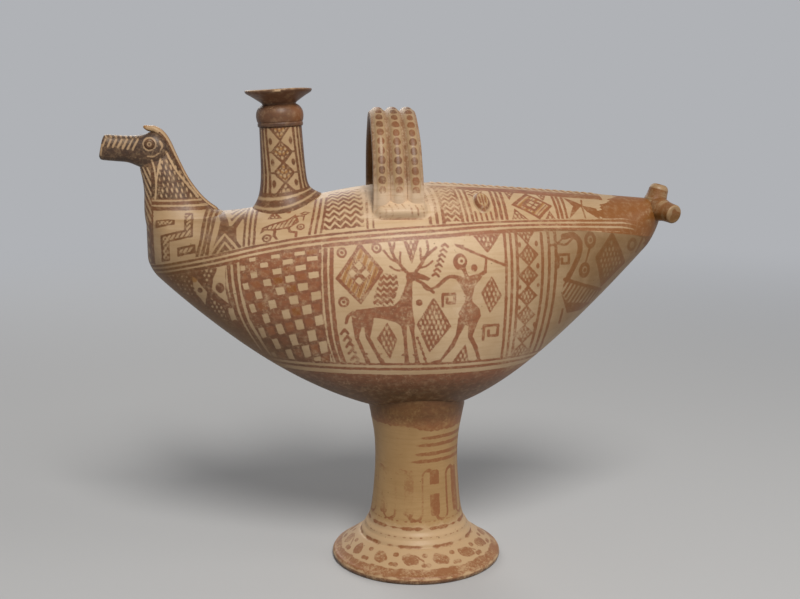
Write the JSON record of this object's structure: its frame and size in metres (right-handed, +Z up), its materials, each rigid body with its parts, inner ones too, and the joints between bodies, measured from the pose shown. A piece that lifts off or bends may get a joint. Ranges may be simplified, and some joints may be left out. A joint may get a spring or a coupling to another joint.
{
  "type": "askos",
  "caption": "Boat-shaped painted ceramic pouring vessel on a hollow pedestal foot, with a deer-headed prow, a flared spout, a coiled basket handle and a pegged tail.",
  "frame": {"origin": "centre of the object's box on the ground it stands on", "axes": "+X from the head towards the tail, +Y across the vessel, +Z up"},
  "size_m": [0.3354, 0.1094, 0.284],
  "materials": {
    "cream_slip": "satin cream slip with painted red-brown ornament, worn",
    "brown_slip": "satin brown slip, worn to clay on the edges",
    "foot_clay": "satin buff clay with worn red-brown bands"
  },
  "bodies": {
    "root": {"hull_shell": "cream_slip", "shoulder_shell": "cream_slip", "side_lug_left": "cream_slip", "side_lug_right": "cream_slip", "spout_neck": "cream_slip", "handle_pad_left": "cream_slip", "handle_pad_right": "cream_slip", "handle_coil_front": "cream_slip", "handle_coil_middle": "cream_slip", "handle_coil_rear": "cream_slip", "protome_neck": "cream_slip", "mane_crest": "cream_slip", "eye_pellet_left": "cream_slip", "eye_pellet_right": "cream_slip", "tail_peg_top": "cream_slip", "tail_peg_left": "cream_slip", "tail_peg_right": "cream_slip", "spout_collar": "brown_slip", "spout_lip": "brown_slip", "protome_head": "brown_slip", "pedestal_foot": "foot_clay"}
  },
  "joints": []
}
